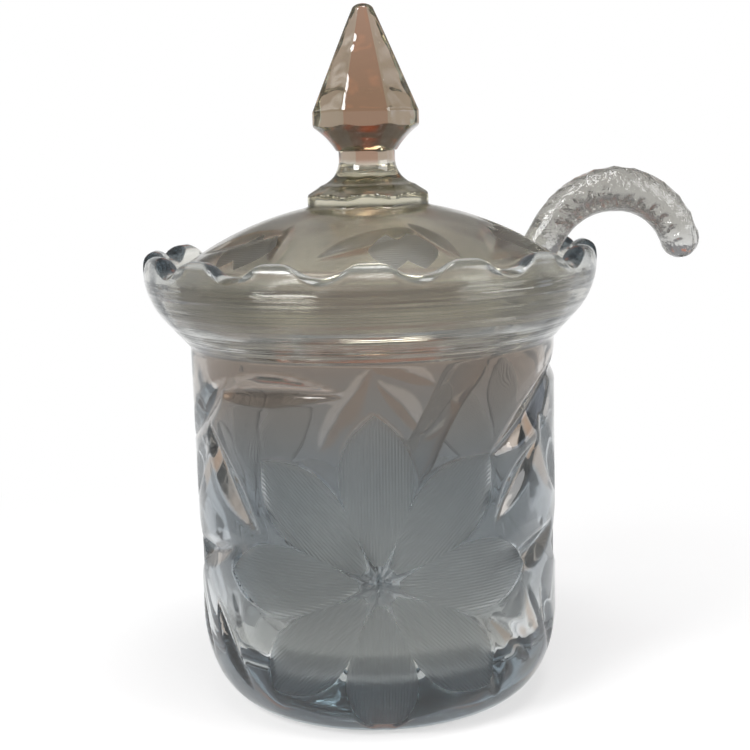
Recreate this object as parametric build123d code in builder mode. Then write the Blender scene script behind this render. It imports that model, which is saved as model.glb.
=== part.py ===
from build123d import *
import math
import os

# Cut-crystal marmalade jar: a jar with a scalloped collar, a domed lid with a faceted
# finial, and a one-piece glass ladle that leaves through a notch in the lid's edge.
# Millimetres, +Z up, origin at the centre of the flat foot. -Y is the front.

# Jar, outside: the rim gives the widths and the heights, and the rest steps in or down from it
rim_radius = 49.0
rim_height = 98.5
body_inset = 9.2
foot_inset = 9.8
heel_height = 18.5
collar_height = 20.2
flare_inset = 3.8
flare_rise = 6.1
collar_top_drop = 5.0

# Jar, inside
wall_at_floor = 5.8
floor_thickness = 11.5
floor_fillet = 6.0
lip_width = 4.6
lip_slope = 1.4
lip_foot_rise = 4.2
ledge_width = 5.4
ledge_depth = 12.8

# Scallops ground across the lip
scallop_count = 16
scallop_depth = 2.6
crown_gap = 0.3
peak_gap = 0.25

# Cuts on the body, in three alike thirds: a flower of shallow petals, and leaves between the flowers
flower_count = 3
flower_height = 34.0
petal_count = 8
petal_root = 3.0
petal_belly = 20.0
petal_half_width = 7.6
petal_tip = 33.2
petal_depth = 0.5
mitre_slope = 0.42
mitre_margin = 0.3
leaf_overrun = 1.2

# Leaf cuts on the dome, in alike sectors
dome_sectors = 6

# Lid
lid_seat_gap = 0.1
lid_edge_gap = 0.4
flange_height = 4.2
flange_overhang = 1.0
dome_wall = 4.4
dome_apex_rise = 22.5
dome_crown_rise = 13.12
dome_edge_inset = 2.0
dome_inner_inset = 1.4

# Finial on the lid, in heights over the dome's apex
finial_sides = 8
finial_root_depth = 2.6
finial_foot_apothem = 12.9
finial_foot_rise = 0.9
finial_shoulder_radius = 10.2
finial_shoulder_rise = 3.4
finial_neck_radius = 6.1
finial_neck_rise = 8.8
finial_ring_radius = 6.6
finial_ring_rise = 10.7
girdle_apothem = 11.3
girdle_bottom_rise = 16.2
girdle_top_rise = 18.8
girdle_flare_run = 1.0
girdle_flare_rise = 1.6
spire_tip_apothem = 1.9
spire_tip_rise = 41.4
spire_tip_round = 1.3

# Ladle, drawn in an upright plane through the jar's axis
ladle_azimuth = 11.25
shank_mouth_gap = 0.35
shank_radius = 4.2
shank_foot_radius = 3.5
shank_foot_depth = 7.0
hook_start_rise = 1.8
hook_rise_bend = 17.9
hook_fall_bend = 16.7
hook_fall_turn = 73.0
hook_crown_radius = 5.1
hook_tip_radius = 4.4
bead_pitch = 3.8
bead_cut_radius = 2.2
bead_cut_depth = 0.7
bead_cut_turn = 62.0
bowl_radius = 12.6
bowl_height = 14.4
bowl_wall = 2.3
bowl_foot_radius = 4.5
bowl_shoulder_height = 9.0
bowl_floor_gap = 0.15
bowl_wall_gap = 4.91
notch_side_gap = 0.5
notch_shank_gap = 3.6

# Turns, in degrees
full_turn = 360.0
half_turn = full_turn / 2
quarter_turn = full_turn / 4

# Places worked out from the sizes above
body_radius = rim_radius - body_inset
foot_radius = body_radius - foot_inset
neck_height = rim_height - collar_height
flare_radius = rim_radius - flare_inset
flare_height = neck_height + flare_rise
collar_top_height = rim_height - collar_top_drop
inner_radius_at_floor = body_radius - wall_at_floor
lip_inner_radius = rim_radius - lip_width
lip_middle_radius = rim_radius - lip_width / 2
ledge_radius = lip_inner_radius - lip_slope
ledge_height = rim_height - ledge_depth
mouth_radius = ledge_radius - ledge_width
scallop_step = full_turn / scallop_count
facet_turn = half_turn / finial_sides
lid_seat_height = ledge_height + lid_seat_gap
flange_radius = ledge_radius - lid_edge_gap
flange_inner_radius = mouth_radius - flange_overhang
dome_edge_radius = flange_radius - dome_edge_inset
dome_radius = (dome_edge_radius**2 + dome_crown_rise**2) / (2 * dome_crown_rise)
dome_inner_radius = dome_radius - dome_wall
dome_inner_edge_radius = flange_inner_radius - dome_inner_inset
dome_apex_height = ledge_height + dome_apex_rise
dome_centre_height = dome_apex_height - dome_radius
finial_foot_height = dome_apex_height + finial_foot_rise
finial_shoulder_height = dome_apex_height + finial_shoulder_rise
finial_neck_height = dome_apex_height + finial_neck_rise
finial_ring_height = dome_apex_height + finial_ring_rise
girdle_bottom = dome_apex_height + girdle_bottom_rise
girdle_top = dome_apex_height + girdle_top_rise
spire_tip_height = dome_apex_height + spire_tip_rise
octagon_spread = 1 / math.cos(math.pi / finial_sides)
hook_start_height = rim_height + hook_start_rise
bowl_bottom = floor_thickness + bowl_floor_gap
bowl_rim_height = bowl_bottom + bowl_height
notch_width = 2 * (hook_crown_radius + notch_side_gap)

# The cup stands clear of the wall on its far side, and the shank rises from its near side
bowl_reach = bowl_radius + bowl_wall_gap - inner_radius_at_floor
shank_base_reach = bowl_reach + bowl_radius - bowl_wall / 2

# Leaf cuts of one third: way round from the flower, height, tilt, length and half-width
leaf_cuts = (
    (-23.0, 71.5, 3.0, 34.0, 3.4),
    (37.0, 66.3, 32.0, 30.0, 4.0),
    (38.0, 36.5, 12.0, 24.0, 3.4),
    (30.0, 18.5, -42.0, 18.0, 2.8),
    (25.5, 14.0, -74.0, 15.0, 2.4),
    (-36.5, 17.5, -58.0, 21.0, 2.8),
    (-34.0, 54.0, -52.0, 27.0, 3.6),
    (33.0, 51.5, 44.0, 21.0, 3.0),
)

# Leaf cuts of one sector of the dome: turn from the sector's start, reach, tilt, length and half-width
dome_leaf_cuts = (
    (-90.0, 29.5, 24.0, 24.0, 3.4),
    (-65.0, 30.5, -70.0, 15.0, 2.4),
)


def lean_to(edge_radius, edge_height):
    """Lean at which the shank, from the cup's rim, passes inside an edge at its own radius and gap."""
    across, rise = edge_radius - shank_base_reach, edge_height - bowl_rim_height
    closeness = (shank_radius + shank_mouth_gap) / math.hypot(across, rise)
    return math.degrees(math.acos(closeness) - math.atan2(rise, across))


# The shank leans on the mouth's edge or in a valley of the lip, whichever it meets first
shank_lean = min(lean_to(mouth_radius, ledge_height), lean_to(lip_inner_radius, rim_height - scallop_depth))
lean_sine = math.sin(math.radians(shank_lean))
lean_cosine = math.cos(math.radians(shank_lean))


def shank_reach(height):
    """Distance of the shank's centre line from the jar's axis at a height."""
    return shank_base_reach + (height - bowl_rim_height) * lean_sine / lean_cosine


def sphere_height(radius, distance):
    """Height above the dome's centre of a sphere of that radius, at a distance from the axis."""
    return math.sqrt(radius**2 - distance**2)


def outwards(azimuth):
    """Level unit vector away from the axis at an azimuth."""
    return Vector(1, 0, 0).rotate(Axis.Z, azimuth)


def upright_plane(azimuth, distance=0.0):
    """Upright plane at an azimuth: its x points outwards from the axis and its y points up."""
    return Plane(
        origin=outwards(azimuth) * distance, x_dir=outwards(azimuth), z_dir=outwards(azimuth - quarter_turn)
    )


def on_wall(across, up):
    """Front-view place of a point that lies that far round the wall and that far up."""
    return (body_radius * math.sin(across / body_radius), up)


def cut_leaf(middle, normal, up, tilt, bend, length, half_width):
    """Presses a wheel with a V edge into a surface, and turns it over one leaf's length.

    It presses in by the slope times the half-width. Where the surface bends more than the leaf's
    ends allow, the V runs round the inside of a ring instead."""
    way = up.rotate(Axis((0, 0, 0), normal), tilt - quarter_turn)
    depth = mitre_slope * half_width
    rise = depth + mitre_margin
    wheel = 1 / (8 * depth / length**2 - bend)
    swing = (length / 2 + leaf_overrun) / abs(wheel)
    centre = middle + normal * (wheel - depth)
    axle = normal.cross(way)
    start_way = way * math.cos(swing) + normal * math.sin(swing)
    with BuildSketch(Plane(origin=centre, x_dir=axle, z_dir=start_way)) as edge:
        with BuildLine():
            Polyline(
                (0, -wheel), (rise / mitre_slope, rise - wheel), (-rise / mitre_slope, rise - wheel),
                close=True,
            )
        make_face()
    revolve(edge.sketch, axis=Axis(centre, axle), revolution_arc=2 * math.degrees(swing))


def draw_outside(depth=0.0):
    """Draws the outline of the jar's foot, heel and body, set in by a depth."""
    Line((0, depth), (foot_radius, depth))
    EllipticalCenterArc(
        (foot_radius, heel_height), body_radius - foot_radius - depth, heel_height - depth,
        start_angle=-quarter_turn, arc_size=quarter_turn,
    )
    Line((body_radius - depth, heel_height), (body_radius - depth, neck_height))


# Valley wheel: an S on each side of a valley, turned over the lip so that its crown comes out round
half_scallop = lip_middle_radius * math.tan(math.radians(scallop_step / 2))
valley_depth = scallop_depth + peak_gap
valley_bend = (half_scallop**2 + valley_depth**2) / (4 * valley_depth)
valley_turn = 2 * math.degrees(math.atan2(valley_depth, half_scallop))
crown_radius = lip_width / 2 + crown_gap
crown_height = rim_height - scallop_depth - crown_radius
lip_crown = Plane(origin=(lip_middle_radius, 0, crown_height), x_dir=(0, 1, 0), z_dir=(0, 0, 1))
with BuildPart() as valley_cutter:
    with BuildSketch(lip_crown):
        with BuildLine():
            fall = JernArc((-half_scallop, crown_radius + valley_depth), (1, 0), valley_bend, -valley_turn)
            dip = JernArc(fall @ 1, fall % 1, valley_bend, 2 * valley_turn)
            rise = JernArc(dip @ 1, dip % 1, valley_bend, -valley_turn)
            Polyline(
                rise @ 1,
                (half_scallop, crown_radius + valley_depth + lip_width),
                (-half_scallop, crown_radius + valley_depth + lip_width),
                fall @ 0,
            )
        make_face()
    revolve(axis=Axis(lip_crown.origin, (0, 1, 0)), revolution_arc=half_turn)

# Flower: eight pointed petals, drawn as they lie round the wall, cut to an even depth
with BuildPart() as flower_cutter:
    with BuildSketch(Plane.XZ):
        for petal in range(petal_count):
            turn = math.radians(petal * full_turn / petal_count)
            along, side = Vector(math.cos(turn), math.sin(turn)), Vector(-math.sin(turn), math.cos(turn))
            corners = [
                on_wall(spot.X, flower_height + spot.Y)
                for spot in (
                    along * petal_root,
                    along * petal_belly + side * petal_half_width,
                    along * petal_tip,
                    along * petal_belly - side * petal_half_width,
                )
            ]
            with BuildLine():
                ThreePointArc(corners[0], corners[1], corners[2])
                ThreePointArc(corners[2], corners[3], corners[0])
            make_face()
    extrude(amount=body_radius)
    with BuildSketch(Plane.XZ):
        with BuildLine():
            draw_outside(petal_depth)
            Polyline((body_radius - petal_depth, neck_height), (0, neck_height), (0, petal_depth))
        make_face()
    revolve(axis=Axis.Z, mode=Mode.SUBTRACT)

# Leaves on the body, and leaves on the dome
with BuildPart() as leaf_cutters:
    for across, height, tilt, length, half_width in leaf_cuts:
        azimuth = math.degrees(across / body_radius) - quarter_turn
        middle = outwards(azimuth) * body_radius + Vector(0, 0, height)
        bend = math.cos(math.radians(tilt)) ** 2 / body_radius
        cut_leaf(middle, outwards(azimuth), Vector(0, 0, 1), tilt, bend, length, half_width)

with BuildPart() as dome_leaf_cutters:
    for azimuth, reach, tilt, length, half_width in dome_leaf_cuts:
        rise = sphere_height(dome_radius, reach)
        normal = (outwards(azimuth) * reach + Vector(0, 0, rise)).normalized()
        inward = (Vector(0, 0, reach) - outwards(azimuth) * rise).normalized()
        middle = Vector(0, 0, dome_centre_height) + normal * dome_radius
        cut_leaf(middle, normal, inward, tilt, 1 / dome_radius, length, half_width)

# Jar: a revolved wall with a thick floor, and a flared collar that holds a ledge for the lid
with BuildPart() as jar:
    with BuildSketch(Plane.XZ):
        with BuildLine():
            draw_outside()
            flare = Line((body_radius, neck_height), (flare_radius, flare_height))
            TangentArc(flare @ 1, (rim_radius, collar_top_height), tangent=flare % 1)
            Line((rim_radius, collar_top_height), (rim_radius, rim_height - lip_width / 2))
            CenterArc((lip_middle_radius, rim_height - lip_width / 2), lip_width / 2, 0, half_turn)
            Polyline(
                (lip_inner_radius, rim_height - lip_width / 2),
                (lip_inner_radius, ledge_height + lip_foot_rise),
                (ledge_radius, ledge_height),
                (mouth_radius, ledge_height),
                (inner_radius_at_floor, floor_thickness),
                (0, floor_thickness),
                (0, 0),
            )
        make_face()
    revolve(axis=Axis.Z)
    floor_edge = jar.edges().filter_by(GeomType.CIRCLE).filter_by_position(
        Axis.Z, floor_thickness, floor_thickness
    )
    fillet(floor_edge, floor_fillet)
    with PolarLocations(0, scallop_count, start_angle=scallop_step / 2):
        add(valley_cutter.part, mode=Mode.SUBTRACT)
    with PolarLocations(0, flower_count):
        add(flower_cutter.part, mode=Mode.SUBTRACT)
        add(leaf_cutters.part, mode=Mode.SUBTRACT)

# Finial foot: a turned skirt that sweeps in to the neck, with eight flats ground on its edge
foot_corner_radius = finial_foot_apothem * octagon_spread
foot_root_height = dome_centre_height + sphere_height(dome_radius, foot_corner_radius) - finial_root_depth
with BuildPart() as finial_foot:
    with BuildSketch(Plane.XZ):
        with BuildLine():
            Polyline(
                (0, finial_neck_height),
                (0, foot_root_height),
                (foot_corner_radius, foot_root_height),
                (foot_corner_radius, finial_foot_height),
                (finial_shoulder_radius, finial_shoulder_height),
            )
            TangentArc(
                (finial_neck_radius, finial_neck_height),
                (finial_shoulder_radius, finial_shoulder_height),
                tangent=(0, -1),
            )
            Line((finial_neck_radius, finial_neck_height), (0, finial_neck_height))
        make_face()
    revolve(axis=Axis.Z)
    with BuildSketch(Plane.XY.offset(foot_root_height)):
        RegularPolygon(finial_foot_apothem, finial_sides, major_radius=False, rotation=facet_turn)
    extrude(amount=finial_neck_height - foot_root_height, mode=Mode.INTERSECT)

# Finial head: a turned drop, ground to an eight-sided girdle and an eight-sided spire
head_corner_radius = girdle_apothem * octagon_spread
with BuildPart() as finial_facets:
    with BuildSketch(Plane.XY.offset(finial_neck_height)):
        RegularPolygon(girdle_apothem, finial_sides, major_radius=False, rotation=facet_turn)
    extrude(amount=girdle_top - finial_neck_height)
    with BuildSketch(Plane.XY.offset(girdle_top)):
        RegularPolygon(girdle_apothem, finial_sides, major_radius=False, rotation=facet_turn)
    with BuildSketch(Plane.XY.offset(spire_tip_height)):
        RegularPolygon(spire_tip_apothem, finial_sides, major_radius=False, rotation=facet_turn)
    loft(ruled=True)
    fillet(finial_facets.edges().group_by(Axis.Z)[-1], spire_tip_round)

with BuildPart() as finial_head:
    with BuildSketch(Plane.XZ):
        with BuildLine():
            Polyline(
                (head_corner_radius, spire_tip_height),
                (0, spire_tip_height),
                (0, finial_neck_height),
                (finial_neck_radius, finial_neck_height),
                (finial_neck_radius, finial_ring_height),
                (finial_ring_radius, finial_ring_height),
            )
            TangentArc(
                (finial_ring_radius, finial_ring_height), (head_corner_radius, girdle_bottom),
                tangent=(girdle_flare_run, girdle_flare_rise),
            )
            Line((head_corner_radius, girdle_bottom), (head_corner_radius, spire_tip_height))
        make_face()
    revolve(axis=Axis.Z)
    add(finial_facets.part, mode=Mode.INTERSECT)

# Lid: a flange that seats on the ledge, a domed shell, the finial, and the ladle's notch
notch_end_reach = shank_reach(lid_seat_height) - shank_radius / lean_cosine + notch_shank_gap
with BuildPart() as lid:
    with BuildSketch(Plane.XZ):
        with BuildLine():
            dome_edge = (dome_edge_radius, dome_centre_height + sphere_height(dome_radius, dome_edge_radius))
            dome_inner_edge = (
                dome_inner_edge_radius,
                dome_centre_height + sphere_height(dome_inner_radius, dome_inner_edge_radius),
            )
            Polyline(
                dome_inner_edge,
                (flange_inner_radius, lid_seat_height),
                (flange_radius, lid_seat_height),
                (flange_radius, lid_seat_height + flange_height),
                dome_edge,
            )
            RadiusArc(dome_edge, (0, dome_apex_height), -dome_radius)
            Line((0, dome_apex_height), (0, dome_apex_height - dome_wall))
            RadiusArc((0, dome_apex_height - dome_wall), dome_inner_edge, dome_inner_radius)
        make_face()
    revolve(axis=Axis.Z)
    add(finial_foot.part)
    add(finial_head.part)
    with PolarLocations(0, dome_sectors):
        add(dome_leaf_cutters.part, mode=Mode.SUBTRACT)
    with BuildSketch(Plane.XY.offset(lid_seat_height)):
        with PolarLocations(notch_end_reach + flange_radius, 1, start_angle=ladle_azimuth):
            SlotOverall(2 * flange_radius, notch_width)
    extrude(amount=dome_apex_height - lid_seat_height, mode=Mode.SUBTRACT)

# Ladle: a tapered shank that bends over in a hook, and a round cup with a flat foot
hook_start = (shank_reach(hook_start_height), hook_start_height)
shank_foot_height = bowl_rim_height - shank_foot_depth
shank_foot = (shank_reach(shank_foot_height), shank_foot_height)
ladle_plane = upright_plane(ladle_azimuth)
with BuildLine(ladle_plane):
    shank_line = Line(shank_foot, hook_start)
    hook_rise = JernArc(hook_start, (lean_sine, lean_cosine), hook_rise_bend, shank_lean - quarter_turn)
    hook_fall = JernArc(hook_rise @ 1, hook_rise % 1, hook_fall_bend, -hook_fall_turn)
rod_radii = (shank_foot_radius, shank_radius, hook_crown_radius, hook_tip_radius)
bowl_plane = upright_plane(ladle_azimuth, bowl_reach)
with BuildPart() as ladle:
    for rod, start_radius, end_radius in zip((shank_line, hook_rise, hook_fall), rod_radii, rod_radii[1:]):
        for share, radius in ((0, start_radius), (1, end_radius)):
            with BuildSketch(Plane(origin=rod @ share, x_dir=ladle_plane.z_dir, z_dir=rod % share)):
                Circle(radius)
        sweep(path=rod, multisection=True)
    with Locations(hook_fall @ 1):
        Sphere(hook_tip_radius)
    # Beads: a row of round dips on each flank of the hook, nearer to its inner side
    for bend, first_radius, last_radius in (
        (hook_rise, shank_radius, hook_crown_radius), (hook_fall, hook_crown_radius, hook_tip_radius),
    ):
        bead_count = round(bend.length / bead_pitch)
        for bead in range(bead_count):
            share = (bead + 0.5) / bead_count
            rod_radius = first_radius + share * (last_radius - first_radius)
            inner = (bend % share).cross(ladle_plane.z_dir)
            for flank in (-bead_cut_turn, bead_cut_turn):
                way = inner.rotate(Axis((0, 0, 0), bend % share), flank)
                with Locations(bend @ share + way * (rod_radius + bead_cut_radius - bead_cut_depth)):
                    Sphere(bead_cut_radius, mode=Mode.SUBTRACT)
    for wall, mode in ((0, Mode.ADD), (bowl_wall, Mode.SUBTRACT)):
        with BuildSketch(bowl_plane):
            with BuildLine():
                Polyline(
                    (bowl_radius - wall, bowl_bottom + bowl_shoulder_height),
                    (bowl_radius - wall, bowl_rim_height),
                    (0, bowl_rim_height),
                    (0, bowl_bottom + wall),
                    (bowl_foot_radius, bowl_bottom + wall),
                )
                EllipticalCenterArc(
                    (bowl_foot_radius, bowl_bottom + bowl_shoulder_height),
                    bowl_radius - wall - bowl_foot_radius, bowl_shoulder_height - wall,
                    start_angle=-quarter_turn, arc_size=quarter_turn,
                )
            make_face()
        revolve(axis=Axis(bowl_plane.origin, (0, 0, 1)), mode=mode)

os.makedirs("parts", exist_ok=True)
jar.part.label = "jar"
export_step(jar.part, "parts/jar.step")
lid.part.label = "lid"
export_step(lid.part, "parts/lid.step")
ladle.part.label = "ladle"
export_step(ladle.part, "parts/ladle.step")
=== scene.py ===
"""Cut-crystal marmalade jar with a notched lid and a glass ladle, dressed for rendering.

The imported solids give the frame. Each piece of glass is a fine surface worked out on a grid,
with its wheel cuts, and stands for the solid of the same name.
"""

import math

import bpy
import numpy as np
from mathutils import Matrix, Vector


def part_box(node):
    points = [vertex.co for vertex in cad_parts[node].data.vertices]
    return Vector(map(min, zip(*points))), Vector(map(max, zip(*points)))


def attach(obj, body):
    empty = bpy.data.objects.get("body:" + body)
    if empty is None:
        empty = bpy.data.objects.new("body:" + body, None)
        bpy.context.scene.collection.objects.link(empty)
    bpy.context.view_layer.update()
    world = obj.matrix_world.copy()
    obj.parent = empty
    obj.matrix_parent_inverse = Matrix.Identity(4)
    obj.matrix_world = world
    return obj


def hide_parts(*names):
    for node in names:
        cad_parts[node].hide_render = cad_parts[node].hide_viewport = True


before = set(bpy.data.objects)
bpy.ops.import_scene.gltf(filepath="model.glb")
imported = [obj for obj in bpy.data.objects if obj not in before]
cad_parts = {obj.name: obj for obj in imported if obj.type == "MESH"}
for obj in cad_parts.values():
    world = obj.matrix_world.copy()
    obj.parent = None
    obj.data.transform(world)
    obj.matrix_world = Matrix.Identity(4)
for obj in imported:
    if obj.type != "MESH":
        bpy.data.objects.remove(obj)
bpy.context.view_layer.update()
JAR_LOW, JAR_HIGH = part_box("jar")
LID_LOW, LID_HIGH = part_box("lid")

bl_info = {
    "name": "Cut-crystal marmalade jar",
    "version": (1, 0, 0),
    "blender": (4, 5, 0),
    "location": "View3D > Sidebar > Marmalade jar",
    "description": "Builds a scalloped crystal jar, its faceted lid and its ladle",
    "category": "Object",
}

MM = 0.001
TAU = 2 * math.pi

# Grid counts
COLUMNS = 448
ROD_COLUMNS = 72

# Jar, in millimetres: the wall's outline, from the foot to the lip and down inside
RIM_RADIUS = (JAR_HIGH[0] - JAR_LOW[0]) / 2 / MM
FOOT_RADIUS = 30.0
BODY_RADIUS = 39.8
HEEL_HEIGHT = 18.5
NECK_HEIGHT = 78.3
FLARE = (45.2, 84.4)
COLLAR_TOP = 93.5
RIM_HEIGHT = 98.5
FLOOR = 11.5
FLOOR_FILLET = 6.0
FLOOR_WALL_RADIUS = 34.0
MOUTH_RADIUS = 37.6
LEDGE = (43.0, 85.7)
LIP_INNER_RADIUS = 44.4
LIP_FOOT_HEIGHT = 89.9
SCALLOPS = 16
SCALLOP_DEPTH = 2.6
LIP_CROWN = 2.6
VALLEY_DEPTH = 2.85

# Lid, in millimetres
LID_SEAT = LID_LOW[2] / MM
TIP_HEIGHT = LID_HIGH[2] / MM
FLANGE_RADIUS = 42.6
FLANGE_TOP = 90.0
FLANGE_INNER_RADIUS = 36.6
DOME_RADIUS = 69.4
DOME_WALL = 4.4
DOME_APEX = 108.2
DOME_EDGE_RADIUS = 40.6
DOME_INNER_EDGE_RADIUS = 35.2
DOME_CENTRE = DOME_APEX - DOME_RADIUS
FACETS = 8
ARRIS = 0.985
FOOT_APOTHEM = 12.9
GIRDLE_APOTHEM = 11.3
GIRDLE_TOP = 127.0
GIRDLE_FOOT = 124.4
COVE = (6.6, 118.9)
STEM_TOP = (6.1, 118.7)
STEM_FOOT = (6.1, 117.0)
FOOT_SHOULDER = (10.2, 111.6)
FOOT_EDGE_TOP = 109.1
FOOT_FACETS_TOP = 114.0
TIP_ROUNDING = 1.5
SPIRE_TIP_APOTHEM = 1.9
NOTCH_HALF_WIDTH = 5.6
NOTCH_END = 31.0

# Ladle, in millimetres, in the upright plane at its azimuth
LADLE_AZIMUTH = math.radians(11.25)
LEAN = math.radians(32.0)
SHANK_AT_LEDGE = 32.235
SHANK_FOOT_HEIGHT = 19.05
HOOK_START_HEIGHT = 100.3
HOOK_RISE_BEND = 17.9
HOOK_FALL_BEND = 16.7
HOOK_FALL_TURN = math.radians(73.0)
ROD_RADII = (3.5, 4.2, 5.1, 4.4)
BOWL_BOTTOM = 11.65
BOWL_HEIGHT = 14.4
BOWL_RADIUS = 12.6
BOWL_WALL = 2.3
BOWL_FOOT_RADIUS = 4.5
BOWL_SHOULDER = 9.0
BEAD_PITCH = 3.8
BEAD_DEPTH = 0.7
BEAD_RADIUS = 1.7
BEAD_TURN = math.radians(62.0)

# Cut decoration on the body: three flowers round the jar, and leaf cuts between them
FLOWERS = 3
FRONT = -math.pi / 2
FLOWER_HEIGHT = 34.0
PETALS = 8
PETAL_START = 3.0
PETAL_LENGTH = 31.5
PETAL_WIDTH = 14.5
PETAL_DEPTH = 0.5
STAR_RADIUS = 4.3
STAR_DEPTH = 0.9
LINE_PITCH = 0.62
MITRE_SLOPE = 0.42
DOME_SLOPE = 0.26

# Leaf cuts: place across from the flower and height, turn in degrees, length, half-width, bend
LEAVES = (
    (-23.0, 71.5, 3.0, 35.0, 3.5, -0.0040),
    (37.0, 66.3, 32.0, 32.0, 4.2, 0.0050),
    (38.0, 36.5, 12.0, 25.0, 3.6, 0.0060),
    (30.0, 18.5, -42.0, 19.0, 2.8, -0.0100),
    (25.5, 14.0, -74.0, 16.0, 2.5, 0.0100),
    (-36.5, 17.5, -58.0, 22.0, 2.8, 0.0060),
    (-34.0, 54.0, -52.0, 28.0, 3.7, 0.0070),
    (33.0, 51.5, 44.0, 22.0, 3.1, -0.0070),
)

# Cuts on the dome, seen from above: turn, distance from the axis, tilt, length, half-width, bend
DOME_REPEATS = 6
DOME_LEAVES = (
    (0.0, 29.5, 24.0, 24.0, 3.4, 0.006),
    (25.0, 30.5, -70.0, 15.0, 2.4, 0.006),
)
DOME_PETALS = ((33.0, 7.0, 6.0, 4.4), (33.0, 16.0, 6.0, 4.4))

# Panels round the room: azimuth, rise and spread in degrees, and colour
PANELS = (
    (-90.0, 43.0, 6.0, (8.0, 2.4, 1.0)),
    (171.0, 29.0, 8.0, (5.0, 5.0, 4.8)),
    (9.0, 29.0, 7.0, (3.2, 3.3, 3.5)),
    (4.0, 7.0, 10.0, (2.2, 2.4, 2.8)),
    (174.0, 8.0, 7.0, (2.3, 2.2, 2.1)),
    (90.0, 25.0, 9.0, (1.00, 0.30, 0.12)),
    (118.0, 30.0, 8.0, (0.80, 0.34, 0.16)),
    (55.0, 27.0, 9.0, (0.95, 0.32, 0.14)),
    (148.0, 25.0, 9.0, (0.85, 0.40, 0.16)),
    (-160.0, 40.0, 9.0, (2.2, 2.2, 2.2)),
    (-60.0, 62.0, 12.0, (0.70, 0.28, 0.12)),
    (-122.0, 26.0, 4.0, (9.0, 9.0, 9.0)),
    (-66.0, 28.0, 3.5, (9.0, 9.0, 9.2)),
    (-38.0, 20.0, 3.0, (8.0, 8.4, 9.0)),
    (-104.0, 52.0, 3.5, (9.0, 9.0, 9.0)),
)

# Floor disc, in metres: its radius, and the distances between which the shadow fades
FLOOR_REACH = 2.5
SHADOW_FADE = (0.04, 0.22)


def joined(*runs):
    """One outline from several runs of points, without the repeats where they meet."""
    points = np.concatenate(runs)
    steps = np.hypot(*np.diff(points, axis=0).T)
    return points[np.concatenate(([True], steps > 1e-6))]


def straight(start, end, count):
    """Evenly spaced points on the line from start to end."""
    share = np.linspace(0, 1, count + 1)[:, None]
    return (1 - share) * np.array(start) + share * np.array(end)


def arc(centre, radii, start, end, count):
    """Points on an ellipse: centre + (a cos t, b sin t), with t from start to end in degrees."""
    turn = np.radians(np.linspace(start, end, count + 1))
    return np.stack([centre[0] + radii[0] * np.cos(turn), centre[1] + radii[1] * np.sin(turn)], 1)


def tangent_arc(start, direction, end, count):
    """Points on the circle arc that leaves start along direction and ends at end."""
    start, end = np.array(start, float), np.array(end, float)
    direction = np.array(direction, float) / np.hypot(*direction)
    normal = np.array([-direction[1], direction[0]])
    chord = end - start
    radius = chord @ chord / (2 * chord @ normal)
    centre = start + radius * normal
    first = math.atan2(*(start - centre)[::-1])
    turn = 2 * math.atan2(chord @ normal, chord @ direction)
    angle = first + np.linspace(0, turn, count + 1)
    return centre + abs(radius) * np.stack([np.cos(angle), np.sin(angle)], 1)


def outward_normals(outline):
    """Unit normals of an outline, on the right of the way that it runs."""
    along = np.gradient(outline, axis=0)
    along /= np.hypot(along[:, 0], along[:, 1])[:, None]
    return np.stack([along[:, 1], -along[:, 0]], 1)


def closed_mesh(name, rows, faces=None):
    """Mesh from a grid of points [row, column, xyz] that closes round its columns.

    The first and the last row are each one point, a pole, so the surface has no seam or hole. The
    faces of the cuts go with the points, as their own attribute."""
    middle = rows[1:-1]
    count, columns = middle.shape[:2]
    vertices = np.concatenate([rows[0, :1], middle.reshape(-1, 3), rows[-1, :1]])
    here = 1 + np.arange(columns)
    after = 1 + (np.arange(columns) + 1) % columns
    low = (np.arange(count - 1) * columns)[:, None]
    quads = np.stack([here + low, after + low, after + low + columns, here + low + columns], -1)
    last = len(vertices) - 1
    start_fan = np.stack([np.zeros_like(here), after, here], 1)
    shift = (count - 1) * columns
    end_fan = np.stack([here + shift, after + shift, np.full_like(here, last)], 1)
    loops = np.concatenate([quads.reshape(-1), start_fan.reshape(-1), end_fan.reshape(-1)])
    sizes = np.concatenate([np.full(quads[..., 0].size, 4), np.full(2 * columns, 3)])
    mesh = bpy.data.meshes.new(name)
    mesh.vertices.add(len(vertices))
    mesh.vertices.foreach_set("co", vertices.astype(np.float32).ravel())
    mesh.loops.add(len(loops))
    mesh.loops.foreach_set("vertex_index", loops.astype(np.int32))
    mesh.polygons.add(len(sizes))
    mesh.polygons.foreach_set("loop_start", np.concatenate([[0], np.cumsum(sizes)[:-1]]).astype(np.int32))
    mesh.update(calc_edges=True)
    mesh.validate()
    if faces is not None:
        values = np.concatenate([faces[0, :1], faces[1:-1].ravel(), faces[-1, :1]])
        mesh.attributes.new("cut_face", "FLOAT", "POINT").data.foreach_set("value", values.astype(np.float32))
    return mesh


def new_object(name, mesh):
    """Object at the origin that shows a mesh."""
    piece = bpy.data.objects.new(name, mesh)
    bpy.context.scene.collection.objects.link(piece)
    return piece


def combine(piece, tool, operation):
    """Cuts or joins the piece with the tool, which is used up."""
    modifier = piece.modifiers.new("combine", "BOOLEAN")
    modifier.operation = operation
    modifier.solver = "EXACT"
    modifier.object = tool
    graph = bpy.context.evaluated_depsgraph_get()
    result = bpy.data.meshes.new_from_object(piece.evaluated_get(graph))
    piece.modifiers.clear()
    result.name = piece.name
    piece.data = result
    bpy.data.objects.remove(tool)


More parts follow.
